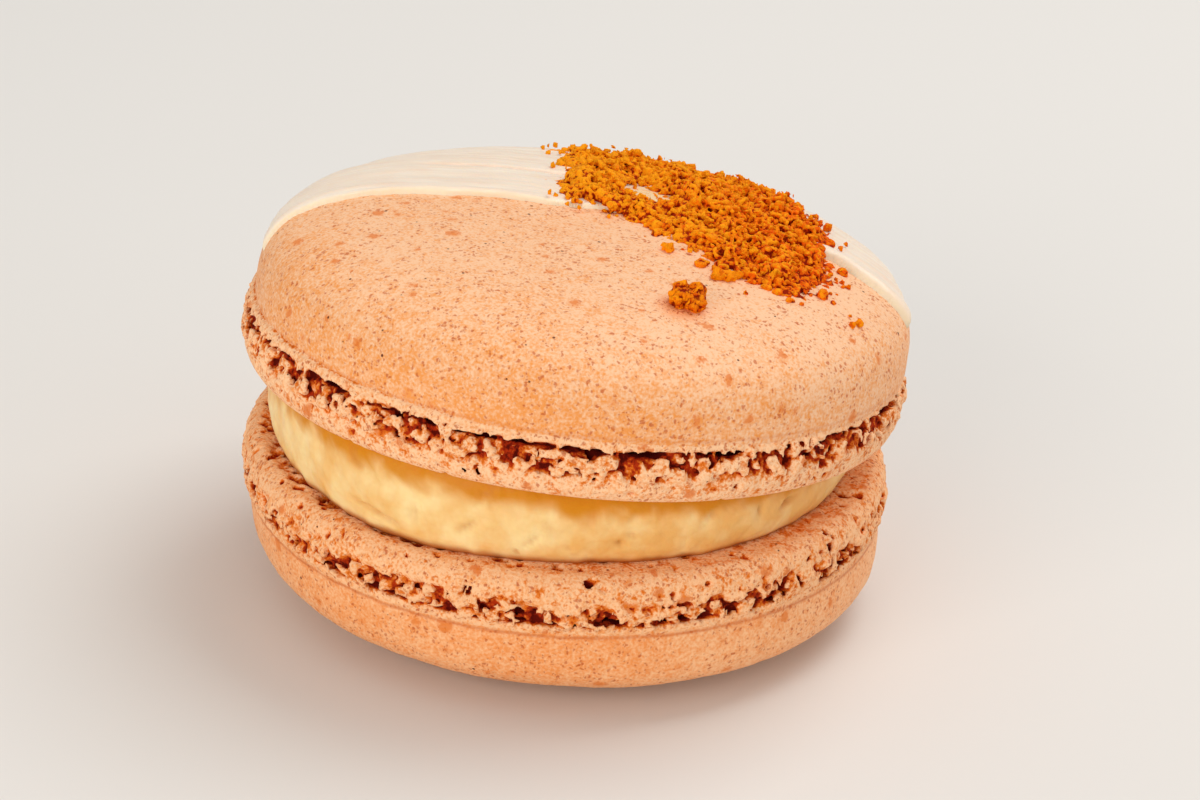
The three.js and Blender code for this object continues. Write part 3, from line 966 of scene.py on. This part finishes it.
def model_coat():
    """A copy of the dome's skin, cut back to what is coated, divided finely and raised."""
    coat = model_dome(UPPER, COAT_COLUMNS, COAT_RINGS)
    inside, _ = from_coat_edge(*points_of(coat).T)
    kept = (inside > -COAT_MARGIN - 0.7) & (points_of(coat)[:, 2] > UPPER["foot_height"] / MM)
    select_points(coat, ~kept)
    bpy.ops.mesh.delete(type="VERT")
    bpy.ops.mesh.select_all(action="SELECT")
    bpy.ops.mesh.delete_loose()
    bpy.ops.mesh.select_all(action="SELECT")
    bpy.ops.mesh.subdivide(number_cuts=2)
    bpy.ops.object.mode_set(mode="OBJECT")
    points, normals = onto_dome(UPPER, points_of(coat))
    inside, behind = from_coat_edge(*points.T)
    bead = np.sqrt(1 - (1 - np.clip(inside / COAT_BEAD, 0, 1)) ** 2)
    swell = COAT_SWELL * np.clip((points[:, 0] - 12) / 6, 0, 1) * np.exp(-((behind - 0.9) ** 2))
    thick = COAT_HEIGHT + swell
    height = np.where(inside > 0, 0.1 + (thick - 0.1) * bead, -0.3)
    points += normals * height[:, None]
    coat.data.vertices.foreach_set("co", (points * MM).ravel())
    coat.data.update()
    for name, values in (("inside", inside), ("behind", behind)):
        coat.data.attributes.new(name, "FLOAT", "POINT").data.foreach_set("value", values)
    return coat


def along_brush(tree, place, behind, stretch):
    """A place measured along the brush strokes, drawn out so that noise on it makes streaks."""
    made = tree.nodes.new("ShaderNodeCombineXYZ")
    plug(tree, place.split()[0] / stretch, made.inputs[0])
    plug(tree, behind, made.inputs[1])
    return Term(tree, made.outputs[0])


def thin_streak(tree, place, behind):
    """1 in the streak where the chocolate is thinnest."""
    x = place.split()[0]
    bend = behind - THIN_STREAK + 0.25 * noise(tree, place, 3, 1)
    across = (bend * bend / -0.05).math("EXPONENT")
    return across * x.step(-13, -10) * x.step(-0.5, -3)


def coat_streaks():
    """Streaks left by the brush, shallow and long, and the thin one."""
    tree, given, result, place = geometry_tree("coat_streaks")
    behind = named(tree, "behind")
    strokes = noise(tree, along_brush(tree, place, behind, 9), 0.75, 2)
    wide = noise(tree, along_brush(tree, place, behind, 5), 2.2, 1)
    thin = thin_streak(tree, place, behind)
    height = 0.09 * strokes + 0.11 * wide - 0.26 * thin + 0.03 * noise(tree, place, 1.5, 1)
    covered = named(tree, "inside").step(0, 0.4)
    raised = raise_by(tree, given, height * covered)
    tree.links.new(store(tree, raised, "thin", thin), result)
    return tree


def coat_material():
    """Ivory with paler and deeper strokes, and the biscuit's colour where it is thinnest."""
    material, tree, shader = new_material("white_chocolate", 0.36, 0.4)
    shader.inputs["Subsurface Weight"].default_value = 0.15
    shader.inputs["Subsurface Radius"].default_value = (1.0, 0.7, 0.4)
    shader.inputs["Subsurface Scale"].default_value = 0.6 * MM
    place = object_place(tree)
    strokes = noise(tree, along_brush(tree, place, attribute(tree, "behind"), 9), 0.7, 3)
    cloudy = (0.35 + 0.9 * strokes + 0.4 * noise(tree, place, 3, 2)).most(0).least(1)
    painted = mix(tree, cloudy, colour(252, 235, 215), colour(243, 213, 187))
    painted = mix(tree, attribute(tree, "thin") * (0.5 + 0.3 * strokes), painted, colour(240, 186, 158))
    painted = mix(tree, attribute(tree, "inside").step(0.5, 0.05) * 0.45, painted, colour(252, 226, 178))
    tree.links.new(painted.socket, shader.inputs["Base Color"])
    relief(tree, 0.03 * strokes + 0.012 * noise(tree, place, 0.4, 2), shader)
    return material


coat = model_coat()
finish_modifier(coat, "NODES", node_group=coat_streaks())
finish_modifier(coat, "SOLIDIFY", thickness=COAT_THICKNESS, offset=-1)
coat_skin = coat_material()
settle(coat, "white_chocolate", UPPER_PLACE, coat_skin)
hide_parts("chocolate_coat")


# --- Crumb topping ----------------------------------------------------------------------------
# Crushed amber biscuit, strewn from the top of the dome down its right shoulder: granules of about
# half a millimetre, caked together round one bare spot, with some loose ones along the edge.

CRUMB_VOXEL = 0.15
DRIFT_SPREAD = 16.8  # how far the drift reaches from the biscuit's axis
DRIFT_BOX = ((-4, -10, 3.5), (18.2, 17.5, 13.6))
DRIFT_THICKNESS = 0.6
DRIFT_BED = 0.35  # how far the caked bed is below the tops of the granules
BARE_SPOT = (3.9, 4.9)  # where the white chocolate shows between the crumbs
LARGE_GRANULE = 0.75
SMALL_GRANULE = 0.42
CRUMB_SCRAP = 12  # a loose bit with fewer points is dropped
CRUMB_SINK = 0.3  # how far crumbs may reach into what they lie on


def above_dome(place, biscuit):
    """How far a place is above the bare dome, in millimetres."""
    x, y, z = place.split()
    x = x - biscuit["lean"][1] / MM
    across = (x * x + y * y).math("SQRT") / (biscuit["radius"] / MM)
    upwards = ((z - biscuit["foot_height"] / MM) / (biscuit["dome_height"] / MM)).most(0.01)
    crown, wall = biscuit["crown"], biscuit["wall"]
    outward = across ** (crown - 1) * (crown / (biscuit["radius"] / MM))
    upward = upwards ** (wall - 1) * (wall / (biscuit["dome_height"] / MM))
    slope = (outward * outward + upward * upward).math("SQRT")
    return (across**crown + upwards**wall - 1) / slope


def in_drift(tree, place):
    """How far a place is inside the outline of the drift in plan, in millimetres."""
    x, y, _ = place.split()
    ragged = noise(tree, place, 3.5, 1) * y.step(4, 8)
    slanted = 0.718 * x + 0.696 * y - 1.9
    near_top = 0.34 * x + 0.94 * y - 1.5
    inside = slanted.most(near_top).least(x + 2.4).least(y + 8.5).least(16.6 - x)
    inside = inside.least(DRIFT_SPREAD - (x * x + y * y).math("SQRT"))
    along = (0.57 * (x - BARE_SPOT[0]) - 0.82 * (y - BARE_SPOT[1])) / 1.8
    across = 0.82 * (x - BARE_SPOT[0]) + 0.57 * (y - BARE_SPOT[1])
    inside = inside.least((along * along + across * across).math("SQRT") - 0.9)
    return inside + 0.5 * noise(tree, place, 1.6, 2) + 1.2 * ragged


def granules(tree, place, size, thickness, sparse):
    """Rounded grains wherever one's middle lies in the drift and under its surface."""
    distance, chance, centre = cells(tree, place, size)
    height = above_dome(centre, UPPER)
    inside = in_drift(tree, centre)
    cover = COAT_HEIGHT * centre.split()[1].step(0, 2)
    buried = cover + thickness * inside.step(-0.2, 1.6) - height
    present = inside.least(buried).most((inside + 1.3).least(chance - sparse).least(cover + 0.25 - height))
    grain = size * (0.3 + 0.3 * chance) - distance
    return grain.least(present.step(-0.02, 0.02) * 4 - 2)


def drift_crumbs():
    """The caked bed of the drift and the granules of two sizes on it."""
    tree, _, result, place = geometry_tree("drift_crumbs")
    warp = vector(tree, "SCALE", noise(tree, place, 0.5, 2, warp=True), 0.1)
    warped = vector(tree, "ADD", place, warp)
    patchy = noise(tree, place, 2.2, 2)
    rear = place.split()[1].step(6, 15)
    thickness = DRIFT_THICKNESS + 0.7 * patchy + 0.3 * noise(tree, place, 1.1, 1) - 0.3 * rear
    large = granules(tree, warped, LARGE_GRANULE, thickness, sparse=0.86)
    small = granules(tree, warped, SMALL_GRANULE, thickness + 0.1, sparse=0.9)
    height = above_dome(place, UPPER)
    cover = COAT_HEIGHT * place.split()[1].step(0, 2)
    bed = (cover + thickness - DRIFT_BED - height).least(in_drift(tree, place) - 0.7)
    rough = 0.12 * noise(tree, place, 0.3, 2)
    inside = large.most(small).most(bed) + rough
    inside = inside.least(height + CRUMB_SINK)
    skin = surface_of(tree, inside, *DRIFT_BOX, CRUMB_VOXEL)
    skin = store_hollow(tree, without_scraps(tree, skin, CRUMB_SCRAP))
    buried = cover + thickness - height + 0.2 * patchy
    tree.links.new(store(tree, skin, "depth", buried), result)
    return tree


def crumb_material(name, light, amber, painted_shade_colour):
    """Amber granules with painted light and shade: paler outside and towards the left, deep red-brown
    between each other, in hollows and further down.
    """
    material, tree, shader = new_material(name, 0.7, 0.06)
    place = object_place(tree)
    fine = noise(tree, place, 0.22, 3)
    hue = noise(tree, place, 0.8, 2)
    warp = vector(tree, "SCALE", noise(tree, place, 0.3, 2, warp=True), 0.12)
    warped = vector(tree, "ADD", place, warp)
    from_grain, chance, _ = cells(tree, warped, 0.28)
    hollow = attribute(tree, "hollow")
    x = place.split()[0]
    depth = attribute(tree, "depth")
    # Painted light and shade: paler by chance and hue, deeper in hollows, further down and towards the
    # right.
    lit = 0.55 + 0.9 * chance + 0.6 * hue + 0.5 * fine - 5 * hollow - 0.5 * depth - 0.05 * x
    painted = mix(tree, lit.most(0).least(1), amber, light)
    # Painted shade between the grains, in hollows and further down.
    gap = hollow * 6 + 0.4 * depth - 0.45 * hue + 0.2 * fine
    gap = gap + from_grain.step(0.08, 0.2) * 0.4 - 0.3 * chance + 0.008 * x
    painted = mix(tree, gap.step(0.16, 0.56), painted, painted_shade_colour)
    tree.links.new(painted.socket, shader.inputs["Base Color"])
    relief(tree, 0.05 * fine - 0.08 * from_grain.step(0.03, 0.2), shader)
    return material


bpy.ops.object.select_all(action="DESELECT")
bpy.ops.mesh.primitive_ico_sphere_add(subdivisions=2, radius=1 * MM)
drift = bpy.context.object
finish_modifier(drift, "NODES", node_group=drift_crumbs())
amber_crumb = crumb_material(
    "amber_crumb", light=colour(255, 162, 16), amber=colour(248, 96, 0), painted_shade_colour=colour(150, 30, 0)
)
settle(drift, "crumb_drift", UPPER_PLACE, amber_crumb)
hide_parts("crumb_topping")


# --- Stray crumbs -----------------------------------------------------------------------------
# Crumbs that rolled off the drift onto the bare dome: one browner cluster of five lumps, painted deeper
# still as shade, and a few pale small ones. Round the cluster the dome has a soft painted amber shadow and
# flecks of crumb dust; the drift has left dust on its bare spot.

STRAY_CRUMBS = (
    (6.2, -13.2, 0.75, 0.5),
    (7.1, -13.4, 0.75, 0.5),
    (6.6, -12.5, 0.6, 0.5),
    (6.1, -12.8, 0.5, 1.9),
    (7.2, -12.9, 0.55, 1.7),
    (8.6, -8.3, 0.5, 0.5),
    (9.4, -8.2, 0.45, 0.5),
    (9.9, -7.6, 0.4, 0.5),
    (5.2, -5.0, 0.42, 0.5),
    (18.3, -8.6, 0.34, 0.4),
    (17.8, -9.3, 0.26, 0.4),
    (17.6, -8.2, 0.2, 0.4),
)  # place in plan and radius in millimetres, and how many radii the middle is above the dome
STRAY_BOX = ((4, -15.5, 4.5), (19.8, -4, 13.2))
STRAY_VOXEL = 0.7 * CRUMB_VOXEL
STRAY_GRAIN = 0.5


def height_of_dome(biscuit, x, y):
    """How high a dome is above the flat face at a place in plan, in millimetres."""
    distance = hypot(x - biscuit["lean"][1] / MM, y) / (biscuit["radius"] / MM)
    share = (1 - distance ** biscuit["crown"]) ** (1 / biscuit["wall"])
    return (biscuit["foot_height"] + biscuit["dome_height"] * share) / MM


def stray_crumbs():
    """Lumps of grains at their places, and a painted shade for each: deeper on the cluster, paler on the
    small ones.
    """
    tree, _, result, place = geometry_tree("stray_crumbs")
    warp = vector(tree, "SCALE", noise(tree, place, 0.6, 2, warp=True), 0.3)
    warped = vector(tree, "ADD", place, warp)
    inside = None
    for x, y, size, lift in STRAY_CRUMBS:
        middle = (x, y, height_of_dome(UPPER, x, y) + lift * size)
        made = tree.nodes.new("ShaderNodeVectorMath")
        made.operation = "DISTANCE"
        plug(tree, warped, made.inputs[0])
        plug(tree, middle, made.inputs[1])
        crumb = 1.15 * size - Term(tree, made.outputs["Value"])
        inside = crumb if inside is None else inside.most(crumb)
    grains = 0.3 - cells(tree, warped, STRAY_GRAIN)[0]
    inside = inside - 0.12 + 0.6 * grains + 0.16 * noise(tree, place, 0.25, 3)
    skin = surface_of(tree, inside, *STRAY_BOX, STRAY_VOXEL)
    skin = store_hollow(tree, without_scraps(tree, skin, CRUMB_SCRAP))
    # Painted shade: the cluster is painted deeper, the small ones paler, as if better lit.
    shade = 0.35 - 1.1 * place.split()[1].step(-11.5, -11)
    tree.links.new(store(tree, skin, "depth", shade), result)
    return tree


bpy.ops.object.select_all(action="DESELECT")
bpy.ops.mesh.primitive_ico_sphere_add(subdivisions=2, radius=1 * MM)
strays = bpy.context.object
finish_modifier(strays, "NODES", node_group=stray_crumbs())
brown_crumb = crumb_material(
    "brown_crumb", light=colour(255, 152, 10), amber=colour(222, 78, 0), painted_shade_colour=colour(132, 26, 0)
)
settle(strays, "stray_crumbs", UPPER_PLACE, brown_crumb)
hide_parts("upper_biscuit")


def dust_and_shadow(material, x, y, reach, tint, fleck):
    """A soft amber halo and darker flecks on the upper biscuit round a place in plan."""
    tree = material.node_tree
    base = tree.nodes["Principled BSDF"].inputs["Base Color"]
    painted = Term(tree, base.links[0].from_socket)
    place = object_place(tree)
    middle = UPPER_PLACE @ (Vector((x, y, height_of_dome(UPPER, x, y))) * MM) / MM
    away = vector(tree, "SUBTRACT", place, middle)
    distance = vector(tree, "DOT_PRODUCT", away, away).math("SQRT")
    grain = noise(tree, place, 0.25, 3)
    # The soft halo: round the stray cluster it is a painted shadow.
    soft = (distance + 0.5 * noise(tree, place, 0.8, 2)).step(reach, 0.3 * reach)
    painted = mix(tree, soft * 0.6, painted, tint)
    flecks = (grain - 0.12 * distance).step(0.05, 0.15)
    painted = mix(tree, flecks * distance.step(1.3 * reach, reach) * 0.8, painted, fleck)
    tree.links.new(painted.socket, base)


# Round the stray cluster: a painted amber shadow on the dome, with flecks of crumb dust.
dust_and_shadow(upper_skin, 6.3, -13.7, reach=2.2, tint=colour(236, 124, 40), fleck=colour(186, 74, 10))
# Crumb dust round the drift's bare spot on the white chocolate.
dust_and_shadow(coat_skin, *BARE_SPOT, reach=3.0, tint=colour(248, 206, 130), fleck=colour(238, 140, 24))
